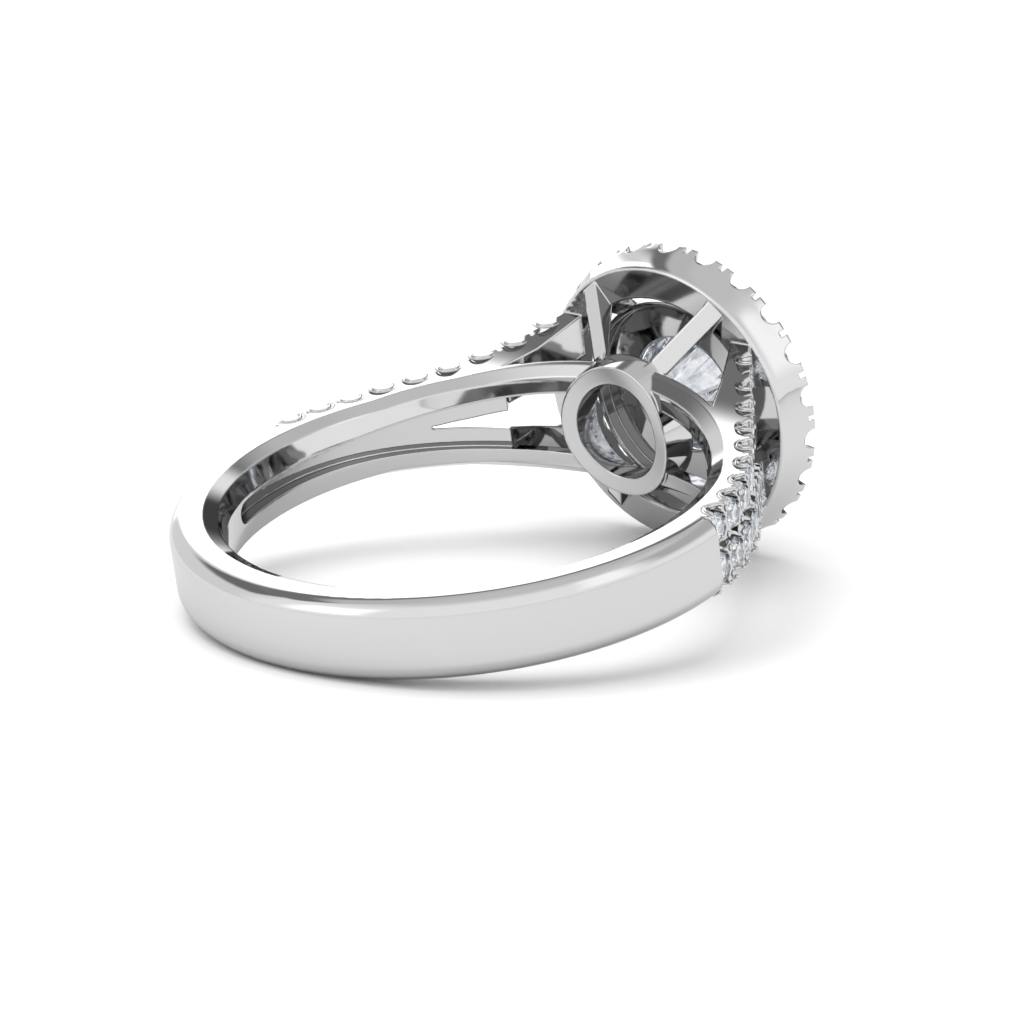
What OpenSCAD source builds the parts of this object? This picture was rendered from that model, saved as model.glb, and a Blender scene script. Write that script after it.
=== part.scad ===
// Halo ring with split, pave-set shoulders, lying on its side.
// It is drawn in the ring's own frame, then laid on its side by lay_down():
// X runs from the finger's axis through the head, Z is the finger's axis, Y crosses the shoulders.
// A height is a distance along X from the finger's axis. An angle round the band starts at the head.

/* [Finger and band] */
// Inside diameter of the band
finger_d = 16.8; // [15:0.1:20]
// Thickness of the band at its back
band_t = 1.96; // [1.6:0.02:2.2]
// Width of the band at its back
band_w = 2.92; // [2.4:0.02:3.2]
// Width of the straight middle of the finger hole's wall
bore_w = 1; // [0.8:0.1:1.4]
// Radial rise of the wall from there to the bevel, for comfort
comfort_rise = 0.22; // [0.1:0.02:0.3]
// Radial size of the bevel round the finger hole
inner_bevel = 0.5; // [0.3:0.05:0.6]
// Depth of that bevel along the finger's axis
bevel_drop = 0.24; // [0.1:0.02:0.4]
// Radius of the rounding on the band's outer edges
outer_round = 0.68; // [0.3:0.02:0.8]

/* [Shoulders] */
// Angle from the head at which the stone-set shoulders start
shoulder_angle = 84; // [80:1:90]
// Depth by which the stone-set face lies below the plain band's outer face
pave_drop = 0.36; // [0.2:0.02:0.4]
// Angle from the head at which the arms leave the finger circle
leave_angle = 54; // [52:1:56]
// Half width of the shoulders where they reach the halo
flare_half_w = 3.05; // [2.9:0.05:3.2]
// Radial thickness of the gallery rails
rail_t = 0.9; // [0.8:0.05:1.1]
// Radial depth of the recess inside each shoulder
recess_depth = 0.5; // [0.3:0.05:0.6]
// Angle from the head at which that recess starts
recess_angle = 115; // [100:1:120]
// Half width of the recess where it starts
recess_half_w = 0.37; // [0.3:0.01:0.45]
// Half width of the recess at the top of the base ring
recess_end_w = 1.45; // [1.2:0.05:1.5]
// Thickness of an arm where it meets the halo
arm_tip_t = 0.85; // [0.7:0.05:1]
// Half width of the gap between two arms at the halo
split_half_w = 1.5; // [1.3:0.05:1.6]

/* [Head] */
// Rise of the halo's underside above the finger hole
halo_rise = 2.65; // [2.5:0.05:2.9]
// Height of the halo from its underside to its claw tips
halo_h = 1.4; // [1.3:0.05:1.6]
// Outer radius of the halo at its claw tips
halo_r = 5.84; // [5.8:0.02:6]
// Outer radius of the halo at its underside
halo_foot_r = 5.38; // [5.3:0.02:5.5]
// Radius of the opening in the halo
halo_open_r = 4.16; // [4.1:0.02:4.2]
// Radius of the hole in the base ring
base_hole_r = 1.83; // [1.7:0.01:1.95]
// Outer radius of the base ring at the finger
base_r = 2.4; // [2.3:0.02:2.5]
// Outer radius of the base ring at its top
base_top_r = 2.64; // [2.6:0.02:2.8]
// Height of the base ring above the finger hole
base_h = 1; // [0.9:0.05:1.2]
// Width of each of the four struts
strut_w = 0.75; // [0.6:0.05:0.9]
// Angle between each strut and the finger's axis
strut_angle = 39; // [37:1:41]
// Distance by which each strut's middle passes the head's axis
strut_offset = 0.4; // [0.2:0.05:0.5]

/* [Centre] */
// Diameter of the centre stone
centre_d = 4.7; // [4.6:0.1:5]
// Radius of the hole below the centre stone
seat_hole_r = 2.24; // [2.1:0.02:2.26]
// Outer radius of the polished cup round the centre stone
cup_r = 3.8; // [3.7:0.02:3.85]
// Rise of the cup's plate above the halo's underside
plate_rise = 1.2; // [1.1:0.05:1.35]
// Depth of the cup below its plate
cup_h = 0.5; // [0.4:0.05:0.6]
// Thickness of the cup's plate
plate_t = 0.5; // [0.45:0.05:0.7]
// Thickness of the cup's wall
cup_wall = 0.2; // [0.15:0.01:0.3]
// Radius of each of the four claws of the centre stone
claw_r = 0.32; // [0.28:0.02:0.4]
// Height of the claws above the cup's plate
claw_h = 0.55; // [0.5:0.05:0.7]

/* [Small stones] */
// Number of stones in the halo
halo_stones = 22; // [20:2:22]
// Diameter of a halo stone
halo_stone_d = 1.2; // [1.1:0.02:1.24]
// Depth of the halo stones' girdles below the claw tips
halo_stone_drop = 0.22; // [0.2:0.02:0.3]
// Diameter of a shoulder stone
arm_stone_d = 1.1; // [1:0.02:1.12]
// Distance from one shoulder stone to the next
arm_pitch = 1.29; // [1.26:0.01:1.3]
// Depth of the shoulder stones' girdles below the stone-set face
arm_stone_drop = 0.14; // [0.12:0.02:0.2]

/* [Fits] */
// Gap between a stone and its seat
stone_gap = 0.05; // [0.03:0.01:0.06]
// Depth of a seat below the stone's girdle
seat_depth = 0.2; // [0.18:0.02:0.3]
// Height of the hollow under a seat
hollow_h = 0.36; // [0.3:0.02:0.4]
// Width of the slot between two claws
claw_slot = 0.2; // [0.12:0.02:0.24]
// Width of each U cut beside a halo stone
halo_u_w = 0.78; // [0.6:0.02:0.82]
// Width of each U cut beside a shoulder stone
arm_u_w = 0.7; // [0.5:0.02:0.74]
// Width and depth of the groove between two rows of stones
groove = 0.34; // [0.2:0.02:0.4]

/* [Hidden] */
$fn = 96;
// Overlap that joins or clears two solids
eps = 0.02;
// Depth by which one piece of metal runs into the next
weld = 0.1;
// Angle by which the plain band and the shoulders overlap
seam_angle = 0.4;
finger_r = finger_d / 2;
band_r = finger_r + band_t;
pave_r = band_r - pave_drop;
half_w = band_w / 2;
bevel_r = finger_r + comfort_rise;
edge_r = bevel_r + inner_bevel;
rail_r = finger_r + rail_t;
halo_base = finger_r + halo_rise;
base_top = finger_r + base_h;
plate_base = halo_base + plate_rise;
cup_base = plate_base - cup_h;
halo_top = halo_base + halo_h;
plate_top = plate_base + plate_t;
// Reach of a cutter that passes right through
through = 3 * halo_base;
white_gold = [0.86, 0.87, 0.88];
diamond = [0.9, 0.95, 1];

// Proportions of a round brilliant, as shares of its diameter
table_share = 0.57;
crown_share = 0.15;
girdle_share = 0.04;
pavilion_share = 0.43;
// Radius of the points between two star facets, as a share of the stone's radius
star_share = 0.76;
// Radius of the points where the lower halves end, as a share of the stone's radius
lower_share = 0.24;
// Sides of a stone's table
table_sides = 8;

// Number of claws round the centre stone, and the angle of the first from the finger's axis
centre_claw_count = 4;
claw_angle = 45;
// Width of the bottom of the hollow under a seat, as a share of the stone's diameter
hollow_share = 0.25;
// Slot between two claws of a shoulder: its run as a share of the band's half width, and its width
// and depth as shares of the halo's slot and of the U cut beside it
arm_slot_run = 0.75;
arm_slot_w = 0.5;
arm_slot_depth = 1 / 3;

// The window between an arm and its gallery rail starts here, just inside the rail
window_angle = 32;
window_tip = (rail_r - weld / 2) * [cos(window_angle), sin(window_angle)];
// Angle of solid metal between that window and the gap between the rails
web_angle = 1;
// The arms leave the finger circle here, and their outer face runs straight to the halo
leave_at = pave_r * [cos(leave_angle), sin(leave_angle)];
arm_end_x = halo_base + eps;
arm_end_y = (pave_r - arm_end_x * cos(leave_angle)) / sin(leave_angle);
// Length of the stone-set face of an arm: its arc, and its straight run to the halo
arc_end = pave_r * (shoulder_angle - leave_angle) * PI / 180;
arm_run = (halo_base - leave_at[0]) / sin(leave_angle);
arm_stones = floor((arc_end + arm_run) / arm_pitch);

// Stations at which the shoulders' sides turn outwards: columns are the share of the way from the
// finger's axis to the halo, and the share of the growth from the band's half width to the flare
flare_stations = [[0.38, 0], [0.62, 0.17], [0.84, 0.5], [1, 1]];
// Half width of the split: columns are the share of the way to the halo, and of its half width there
split_stations = [[0.53, 0.03], [0.62, 0.12], [0.7, 0.26], [0.8, 0.46], [0.9, 0.7], [1.02, 1.05]];
// Outer wall of the halo: columns are the share of its height, and of its growth in radius
halo_wall = [[0.05, 0], [0.39, 0.2], [0.68, 0.72], [1, 1]];
// Height of the bottoms of the halo's U cuts
u_base = halo_base + halo_wall[2][0] * halo_h;

function station_x(k) = flare_stations[k][0] * halo_base;
function station_w(k) = half_w + flare_stations[k][1] * (flare_half_w - half_w);
function flare_slope(k) = (station_w(k + 1) - station_w(k)) / (station_x(k + 1) - station_x(k));
// Half width of the shoulders at a distance x from the finger's axis
function flare_at(x) = max([half_w, for (k = [0:2]) station_w(k) + flare_slope(k) * (x - station_x(k))]);
function mirrored(points) = concat(points,
    [for (i = [len(points) - 1:-1:0]) [points[i][0], -points[i][1]]]);

// The angle by which the head rises when the ring lies with its halo and its back on the floor
contact_r = sqrt(halo_r * halo_r - halo_u_w * halo_u_w / 4);
back_x = band_r - outer_round;
back_z = half_w - outer_round;
lean_run = halo_top + back_x;
lean_rise = contact_r - back_z;
lean = atan2(lean_rise, lean_run) - asin(outer_round / norm([lean_run, lean_rise]));
floor_drop = back_x * sin(lean) + back_z * cos(lean) + outer_round;
// The box of the leaning ring along X, whose middle is the origin
box_back = -(back_x * cos(lean) + back_z * sin(lean) + outer_round);
claw_at = centre_d / 2 + claw_r / 2;
box_front = (plate_top + claw_h) * cos(lean) + claw_at * cos(claw_angle) * sin(lean) + claw_r;

module lay_down() {
    translate([-(box_back + box_front) / 2, 0, floor_drop]) rotate([0, -lean, 0]) children();
}

// Turns a shape drawn along Z so that it runs along the head's axis
module along_head() {
    rotate([0, 90, 0]) children();
}

// Extrudes an outline given as [along X, along Z] across the shoulders
module across(width) {
    rotate([90, 0, 0]) linear_extrude(width, center = true) children();
}

// Outline that is narrow at x0 and curves outwards to x1, given by its half width at both ends
module flared_outline(x0, w0, x1, w1) {
    r = ((x1 - x0) * (x1 - x0) + (w1 - w0) * (w1 - w0)) / (w1 - w0) / 2;
    difference() {
        translate([x0, -w1]) square([x1 - x0, 2 * w1]);
        for (s = [-1, 1]) translate([x0, s * (w0 + r)]) circle(r, $fn = 360);
    }
}

// A slice of pie from the finger's axis out to an angle on both sides of the head
module pie(angle) {
    polygon(through * [[0, 0], [cos(angle), sin(angle)], [1, 0], [cos(angle), -sin(angle)]]);
}

// Profile of the plain band: bore, bevels, flat sides and rounded outer edges
module band_profile() {
    difference() {
        translate([finger_r, -half_w]) square([band_t, band_w]);
        for (s = [-1, 1]) scale([1, s]) {
            polygon([[finger_r - eps, bore_w / 2], [finger_r, bore_w / 2], [bevel_r, half_w - bevel_drop],
                [edge_r, half_w], [edge_r, half_w + eps], [finger_r - eps, half_w + eps]]);
            translate([back_x, back_z]) difference() {
                square(outer_round + eps);
                circle(outer_round);
            }
        }
    }
}

module plain_band() {
    rotate([0, 0, shoulder_angle]) rotate_extrude(angle = 360 - 2 * shoulder_angle) band_profile();
}

// All that lies beyond the band's upper side and its bevel
module side_cut() {
    rotate_extrude() polygon([[0, bore_w / 2], [finger_r, bore_w / 2], [bevel_r, half_w - bevel_drop],
        [edge_r, half_w], [through, half_w], [through, through], [0, through]]);
}

// Moves a cut of the side to a station of the flare and tilts it outwards from there
module at_station(k) {
    translate([station_x(k), 0, station_w(k)]) rotate([0, -atan(flare_slope(k)), 0])
        translate([-station_x(k), 0, -half_w]) children();
}

module flare_cut() {
    intersection() {
        side_cut();
        at_station(0) side_cut();
        at_station(1) side_cut();
        at_station(2) side_cut();
    }
}

// Seen along the finger's axis: the arms outside the gallery rails, and the rails themselves
module arms_plan() {
    difference() {
        union() {
            circle(pave_r);
            polygon(mirrored([leave_at, [arm_end_x, arm_end_y]]));
        }
        polygon(mirrored([[0, 0], window_tip, [arm_end_x + eps, arm_end_y - arm_tip_t]]));
    }
}

module rails_plan() {
    intersection() {
        circle(rail_r);
        pie(leave_angle);
    }
}

module shoulder_blanks() {
    difference() {
        linear_extrude(2 * (flare_half_w + weld), center = true) intersection() {
            pie(shoulder_angle + seam_angle);
            difference() {
                union() {
                    arms_plan();
                    rails_plan();
                }
                circle(finger_r);
            }
        }
        flare_cut();
        mirror([0, 0, 1]) flare_cut();
    }
}

// The recess inside each shoulder, which runs on as the gap between the gallery rails
module recess() {
    start_x = finger_r * cos(recess_angle) + recess_half_w;
    intersection() {
        linear_extrude(2 * flare_half_w, center = true) union() {
            circle(finger_r + recess_depth);
            intersection() {
                circle(rail_r + eps);
                pie(window_angle - web_angle);
            }
        }
        across(through) {
            flared_outline(0, recess_half_w, base_top, recess_end_w);
            translate([start_x, -recess_half_w]) square([eps - start_x, 2 * recess_half_w]);
            translate([start_x, 0]) circle(recess_half_w);
        }
    }
}

// The gap that splits each shoulder into two arms, with a round start
module split() {
    outline = [for (s = split_stations) [s[0] * halo_base, s[1] * split_half_w]];
    across(through) {
        polygon(mirrored(outline));
        translate([outline[0][0], 0]) circle(outline[0][1] + eps);
    }
}

module base_ring() {
    difference() {
        along_head() translate([0, 0, finger_r - recess_depth])
            cylinder(r1 = base_r, r2 = base_top_r, h = base_top - finger_r + recess_depth);
        along_head() cylinder(r = base_hole_r, h = base_top + rail_t);
        cylinder(r = finger_r + eps, h = 2 * band_w, center = true);
    }
}

// One strut from the base ring to the halo, with the foot that carries the cup
module strut() {
    root = base_top - rail_t / 2;
    outer = halo_foot_r - 2 * weld;
    inner = halo_open_r + weld;
    rotate([90, 0, 0]) translate([0, 0, strut_offset]) linear_extrude(strut_w, center = true) polygon([
        [root, base_hole_r + 2 * weld], [root, base_r], [base_top, base_top_r + weld / 2],
        [halo_base + eps, outer], [halo_base + 2 * weld, outer], [halo_base + 3 * weld, inner + weld],
        [u_base - eps, inner], [plate_base, cup_r - weld], [cup_base + 2 * weld, cup_r - weld],
        [halo_base + 2 * weld, inner - weld / 2]]);
}

module struts() {
    for (y = [0, 1], z = [0, 1]) mirror([0, y, 0]) mirror([0, 0, z]) rotate([-strut_angle, 0, 0]) strut();
}

// Girdles of the halo stones, and the radius of the circle on which they stand
halo_girdle = halo_top - halo_stone_drop;
halo_mid_r = (halo_open_r + halo_r) / 2 - stone_gap;

module halo_body() {
    along_head() rotate_extrude() polygon(concat(
        [[halo_open_r, halo_top], [halo_open_r, halo_base + halo_wall[0][0] * halo_h],
            [halo_open_r + halo_wall[0][0] * halo_h, halo_base], [halo_foot_r - halo_wall[0][0] * halo_h, halo_base]],
        [for (p = halo_wall) [halo_foot_r + p[1] * (halo_r - halo_foot_r), halo_base + p[0] * halo_h]]));
}

// Seat of a stone of diameter d whose girdle is at the origin, and the hollow under it
module seat(d) {
    translate([0, 0, -seat_depth]) cylinder(d = d + 2 * stone_gap, h = halo_h);
    translate([0, 0, -seat_depth - hollow_h]) cylinder(d1 = hollow_share * d, d2 = d - 2 * stone_gap,
        h = hollow_h + eps);
}

module halo_cuts() {
    step = 360 / halo_stones;
    u_level = u_base + halo_u_w / 2;
    slot_level = u_base + claw_slot;
    for (i = [0:halo_stones - 1]) rotate([i * step, 0, 0]) {
        translate([halo_girdle, 0, halo_mid_r]) along_head() seat(halo_stone_d);
        // U cut from the opening to the outside
        translate([u_level, 0, cup_r]) {
            cylinder(d = halo_u_w, h = halo_r);
            translate([0, -halo_u_w / 2, 0]) cube([halo_h, halo_u_w, halo_r]);
        }
        // Slot between two claws
        rotate([step / 2, 0, 0]) translate([slot_level, -claw_slot / 2, cup_r])
            cube([halo_h, claw_slot, halo_r]);
    }
}

// The polished cup that surrounds the centre stone, open below
module cup() {
    seat_r = centre_d / 2 + stone_gap;
    along_head() rotate_extrude() polygon([
        [seat_hole_r, plate_base], [cup_r - cup_wall, plate_base], [cup_r - cup_wall, cup_base],
        [cup_r, cup_base], [cup_r, plate_top - cup_wall], [cup_r - cup_wall, plate_top], [seat_r, plate_top],
        [seat_r, plate_top - stone_gap], [seat_hole_r, plate_base + cup_wall]]);
}

centre_girdle = plate_top + stone_gap;

module centre_claws() {
    tip_z = claw_h + plate_t / 2;
    stone_r = centre_d / 2 + stone_gap;
    crown_h = crown_share * centre_d;
    difference() {
        for (i = [0:centre_claw_count - 1]) rotate([claw_angle + i * 360 / centre_claw_count, 0, 0])
            translate([plate_top - plate_t / 2, 0, claw_at]) along_head() {
                cylinder(r = claw_r, h = tip_z);
                translate([0, 0, tip_z]) sphere(claw_r);
            }
        along_head() translate([0, 0, plate_top]) {
            translate([0, 0, -plate_t / 2 - eps]) cylinder(r = stone_r, h = plate_t);
            translate([0, 0, cup_wall]) cylinder(r1 = stone_r, r2 = centre_d * table_share / 2, h = crown_h);
        }
    }
}

// Place of shoulder stone i, in the middle of its pitch: [x, y, z, angle of the face's normal from X]
function arm_spot(i) = let (
    s = (i + 0.5) * arm_pitch,
    on_arc = s < arc_end,
    a = on_arc ? shoulder_angle - s / pave_r * 180 / PI : leave_angle,
    run = on_arc ? 0 : s - arc_end,
    x = pave_r * cos(a) + run * sin(leave_angle),
    y = pave_r * sin(a) - run * cos(leave_angle)) [x, y, flare_at(x) - half_w / 2, a];

// Moves a shape to a place between or on the stones of an arm, its Z along the face's normal
module at_arm_spot(i, side, level) {
    spot = arm_spot(i);
    mirror([0, side > 0 ? 0 : 1, 0]) translate([spot[0], spot[1], level * spot[2]])
        rotate([0, 0, spot[3]]) rotate([0, 90, 0]) children();
}

module shoulder_cuts() {
    slot = [arm_slot_run * half_w, arm_slot_w * claw_slot, arm_u_w];
    for (side = [-1, 1], level = [-1, 1]) {
        for (i = [0:arm_stones - 1]) at_arm_spot(i, side, level) {
            translate([0, 0, -arm_stone_drop]) seat(arm_stone_d);
            rotate([0, 90, 0]) cylinder(d = arm_u_w, h = band_w, center = true);
        }
        // Slots between two claws at the outer edge
        for (i = [1:arm_stones - 1]) at_arm_spot(i - 0.5, side, level)
            translate([level > 0 ? -half_w : half_w - slot[0], -slot[1] / 2, -arm_slot_depth * arm_u_w])
                cube(slot);
    }
}

// Groove along the middle of the stone-set face, from its start to the split
module groove_cut() {
    for (side = [0, 1]) mirror([0, side, 0]) {
        rotate([0, 0, leave_angle]) rotate_extrude(angle = shoulder_angle - leave_angle)
            polygon([[pave_r - groove, 0], [pave_r + groove, groove], [pave_r + groove, -groove]]);
        translate([leave_at[0], leave_at[1], 0]) rotate([0, 0, leave_angle - 90]) rotate([90, 0, 90])
            linear_extrude(arm_stones * arm_pitch - arc_end)
                polygon([[-groove, 0], [groove, groove], [groove, -groove]]);
    }
}

// The whole hoop without its head: the rails stop inside the base ring, and the recess opens the wall
module hoop() {
    difference() {
        union() {
            plain_band();
            difference() {
                shoulder_blanks();
                split();
                shoulder_cuts();
                groove_cut();
            }
        }
        recess();
        along_head() cylinder(r = base_hole_r + weld, h = base_top + rail_t);
    }
}

module ring_mount() {
    color(white_gold) lay_down() union() {
        hoop();
        base_ring();
        struts();
        difference() {
            halo_body();
            halo_cuts();
        }
        cup();
        centre_claws();
    }
}

// A round brilliant with its table up, its girdle's middle at the origin
module brilliant(d) {
    n = table_sides;
    half_turn = 180 / n;
    r = d / 2;
    g = girdle_share * d / 2;
    crown_z = g + crown_share * d;
    culet_z = -g - pavilion_share * d;
    table_r = r * table_share;
    star_r = r * star_share;
    star_z = crown_z - (star_r * cos(half_turn) - table_r) / (r - table_r) * (crown_z - g);
    lower_r = r * lower_share;
    lower_z = culet_z + lower_r * cos(half_turn) / r * (-g - culet_z);
    function ring(rad, z, count, turn) = [for (k = [0:count - 1])
        [rad * cos(k * 360 / count + turn), rad * sin(k * 360 / count + turn), z]];
    points = concat(ring(table_r, crown_z, n, 0), ring(star_r, star_z, n, half_turn), ring(r, g, 2 * n, 0),
        ring(r, -g, 2 * n, 0), ring(lower_r, lower_z, n, half_turn), [[0, 0, culet_z]]);
    // Where each ring of points starts in that list
    star = n;
    top = star + n;
    bottom = top + 2 * n;
    lower = bottom + 2 * n;
    culet = lower + n;
    faces = concat([[for (k = [n - 1:-1:0]) k]],
        [for (k = [0:n - 1], f = [
            [k, (k + 1) % n, star + k],
            [k, star + k, top + 2 * k],
            [k, top + 2 * k, star + (k + n - 1) % n],
            [star + k, top + 2 * k + 1, top + 2 * k],
            [star + k, top + (2 * k + 2) % (2 * n), top + 2 * k + 1],
            [lower + k, bottom + 2 * k, bottom + 2 * k + 1],
            [lower + k, bottom + 2 * k + 1, bottom + (2 * k + 2) % (2 * n)],
            [culet, bottom + 2 * k, lower + k],
            [culet, lower + (k + n - 1) % n, bottom + 2 * k]]) f],
        [for (k = [0:2 * n - 1], f = [
            [top + k, top + (k + 1) % (2 * n), bottom + (k + 1) % (2 * n)],
            [top + k, bottom + (k + 1) % (2 * n), bottom + k]]) f]);
    polyhedron(points, faces);
}

module centre_stone() {
    color(diamond) lay_down() along_head() translate([0, 0, centre_girdle]) brilliant(centre_d);
}

module halo_stone(i) {
    color(diamond) lay_down() rotate([(i - 1) * 360 / halo_stones, 0, 0])
        translate([halo_girdle, 0, halo_mid_r]) along_head() brilliant(halo_stone_d);
}

module shoulder_stones(side) {
    color(diamond) lay_down() for (i = [0:arm_stones - 1], level = [-1, 1])
        at_arm_spot(i, side, level) translate([0, 0, -arm_stone_drop]) brilliant(arm_stone_d);
}

ring_mount();
centre_stone();
shoulder_stones(1);  // left_shoulder_stones
shoulder_stones(-1);  // right_shoulder_stones
for (i = [1:halo_stones]) halo_stone(i);
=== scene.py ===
"""Halo ring with stone-set split shoulders, lying on its side in a white studio.

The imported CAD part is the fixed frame. This script dresses its polished metal and its cut
stones, adds the hooks and tips of the shoulders' claws, and sets the studio and the camera.
All lengths are in metres and in the part's own frame.
"""

from __future__ import annotations

import logging
import math
from dataclasses import dataclass, field
from enum import Enum

import bpy
import numpy as np
from mathutils import Matrix, Vector


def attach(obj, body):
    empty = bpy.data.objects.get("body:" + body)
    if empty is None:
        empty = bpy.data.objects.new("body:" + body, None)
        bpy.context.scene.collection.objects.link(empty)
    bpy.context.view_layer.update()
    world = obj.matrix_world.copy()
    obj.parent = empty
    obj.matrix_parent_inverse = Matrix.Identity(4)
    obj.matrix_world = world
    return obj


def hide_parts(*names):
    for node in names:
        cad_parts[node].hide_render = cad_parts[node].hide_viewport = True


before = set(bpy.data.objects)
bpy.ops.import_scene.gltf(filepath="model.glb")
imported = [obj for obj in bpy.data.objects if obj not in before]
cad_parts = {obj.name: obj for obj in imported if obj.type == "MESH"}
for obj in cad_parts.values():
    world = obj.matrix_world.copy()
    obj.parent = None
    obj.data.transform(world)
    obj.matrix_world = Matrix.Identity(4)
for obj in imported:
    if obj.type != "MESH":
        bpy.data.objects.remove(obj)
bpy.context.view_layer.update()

BODY = "root"
MM = 0.001
TINY = 1e-12
log = logging.getLogger("halo_ring")


class Slot(Enum):
    """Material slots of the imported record."""

    METAL = "white_gold"
    STONE = "diamond"


def deselect_all() -> None:
    """Leaves edit mode and clears the selection."""
    if bpy.context.object is not None and bpy.context.object.mode != "OBJECT":
        bpy.ops.object.mode_set(mode="OBJECT")
    bpy.ops.object.select_all(action="DESELECT")


def make_active(piece: bpy.types.Object) -> None:
    """Selects one piece alone and makes it active.

    Args:
        piece: The object that the next operators act on.
    """
    deselect_all()
    piece.select_set(True)
    bpy.context.view_layer.objects.active = piece


def wear(piece: bpy.types.Object, material: bpy.types.Material) -> None:
    """Gives a piece one material all over.

    Args:
        piece: The object to dress.
        material: Its new and only material.
    """
    piece.data.materials.clear()
    piece.data.materials.append(material)


@dataclass(frozen=True)
class RingSizes:
    """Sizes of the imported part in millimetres, in the ring's own frame.

    X runs from the finger's axis through the head, Z is the finger's axis, and a height is a
    distance along X from the finger's axis.
    """

    finger_r: float = 8.4
    band_r: float = 10.36
    half_w: float = 1.46
    bore_half: float = 0.5
    overcut: float = 0.02
    bevel_r: float = 8.62
    edge_r: float = 9.12
    bevel_drop: float = 0.24
    outer_round: float = 0.68
    pave_r: float = 10.0
    recess_r: float = 8.9
    recess_half_w: float = 0.37
    recess_end_w: float = 1.45
    rail_r: float = 9.3
    groove: float = 0.34
    flare_half_w: float = 3.05
    halo_base: float = 11.05
    halo_h: float = 1.4
    halo_r: float = 5.84
    halo_foot_r: float = 5.38
    halo_open_r: float = 4.16
    halo_u_w: float = 0.78
    base_hole_r: float = 1.83
    base_r: float = 2.4
    base_top_r: float = 2.64
    base_foot: float = 7.9
    base_top: float = 9.4
    cup_r: float = 3.8
    cup_wall: float = 0.2
    cup_base: float = 11.75
    plate_base: float = 12.25
    plate_top: float = 12.75
    seat_hole_r: float = 2.24
    centre_seat_r: float = 2.4
    stone_gap: float = 0.05
    centre_r: float = 2.35
    claw_r: float = 0.32
    claw_h: float = 0.55
    claw_count: int = 4
    claw_angle: float = 45.0
    shoulder_angle: float = 84.0
    leave_angle: float = 54.0
    arm_pitch: float = 1.29
    arm_stones: int = 9
    flare_stations: tuple[tuple[float, float], ...] = (
        (0.38, 0.0), (0.62, 0.17), (0.84, 0.5), (1.0, 1.0))
    halo_wall: tuple[tuple[float, float], ...] = (
        (0.05, 0.0), (0.39, 0.2), (0.68, 0.72), (1.0, 1.0))

    def station(self, k: int) -> tuple[float, float]:
        """Distance along X and half width of the shoulders at flare station k."""
        share, growth = self.flare_stations[k]
        return share * self.halo_base, self.half_w + growth * (self.flare_half_w - self.half_w)

    def flare_slope(self, k: int) -> float:
        """Growth of the shoulders' half width per millimetre after station k."""
        (x0, w0), (x1, w1) = self.station(k), self.station(k + 1)
        return (w1 - w0) / (x1 - x0)

    def eased_slope(self, k: int) -> float:
        """Slope of the polished side at a flare station, halfway between the slopes beside it.

        Args:
            k: The station's number.

        Returns:
            The slope, without a unit.
        """
        before = self.flare_slope(k - 1) if k > 0 else 0.0
        after = self.flare_slope(k) if k < len(self.flare_stations) - 1 else before
        return (before + after) / 2

    def flare_at(self, x: float) -> float:
        """Half width of the shoulders.

        Args:
            x: Distance from the finger's axis towards the head.

        Returns:
            The half width there.
        """
        widths = [self.half_w]
        for k in range(len(self.flare_stations) - 1):
            at, width = self.station(k)
            widths.append(width + self.flare_slope(k) * (x - at))
        return max(widths)

    def arm_spot(self, i: float) -> tuple[float, float, float]:
        """Place of a shoulder stone on the far arms.

        Args:
            i: The stone's number; a half lies between two stones.

        Returns:
            Its x and y on the stone-set face, and the angle of the face's normal in radians.
        """
        leave = math.radians(self.leave_angle)
        arc = self.pave_r * (math.radians(self.shoulder_angle) - leave)
        along = (i + 0.5) * self.arm_pitch
        angle = math.radians(self.shoulder_angle) - along / self.pave_r if along < arc else leave
        run = max(0.0, along - arc)
        x = self.pave_r * math.cos(angle) + run * math.sin(leave)
        return x, self.pave_r * math.sin(angle) - run * math.cos(leave), angle

    def ring_to_part(self) -> Matrix:
        """Lays the ring down: from its own frame in millimetres to the part's frame in metres.

        Returns:
            The matrix of the same steps that the CAD source takes.
        """
        contact_r = math.sqrt(self.halo_r**2 - self.halo_u_w**2 / 4)
        back_x, back_z = self.band_r - self.outer_round, self.half_w - self.outer_round
        run, rise = self.halo_base + self.halo_h + back_x, contact_r - back_z
        lean = math.atan2(rise, run) - math.asin(self.outer_round / math.hypot(run, rise))
        drop = back_x * math.sin(lean) + back_z * math.cos(lean) + self.outer_round
        back = -(back_x * math.cos(lean) + back_z * math.sin(lean) + self.outer_round)
        claw_at = self.centre_r + self.claw_r / 2
        front = (self.plate_top + self.claw_h) * math.cos(lean)
        front += claw_at * math.cos(math.radians(self.claw_angle)) * math.sin(lean) + self.claw_r
        shift = Matrix.Translation((-(back + front) / 2, 0.0, drop))
        return Matrix.Scale(MM, 4) @ shift @ Matrix.Rotation(-lean, 4, "Y")


@dataclass
class MeshCorners:
    """Triangles in the ring's frame, in millimetres, and the corner normals made for them.

    Corners and normals are shaped faces by 3 by 3, flats hold the normal of each face, and free
    says which faces nothing has claimed yet.
    """

    corners: np.ndarray
    flats: np.ndarray
    normals: np.ndarray
    free: np.ndarray


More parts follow.
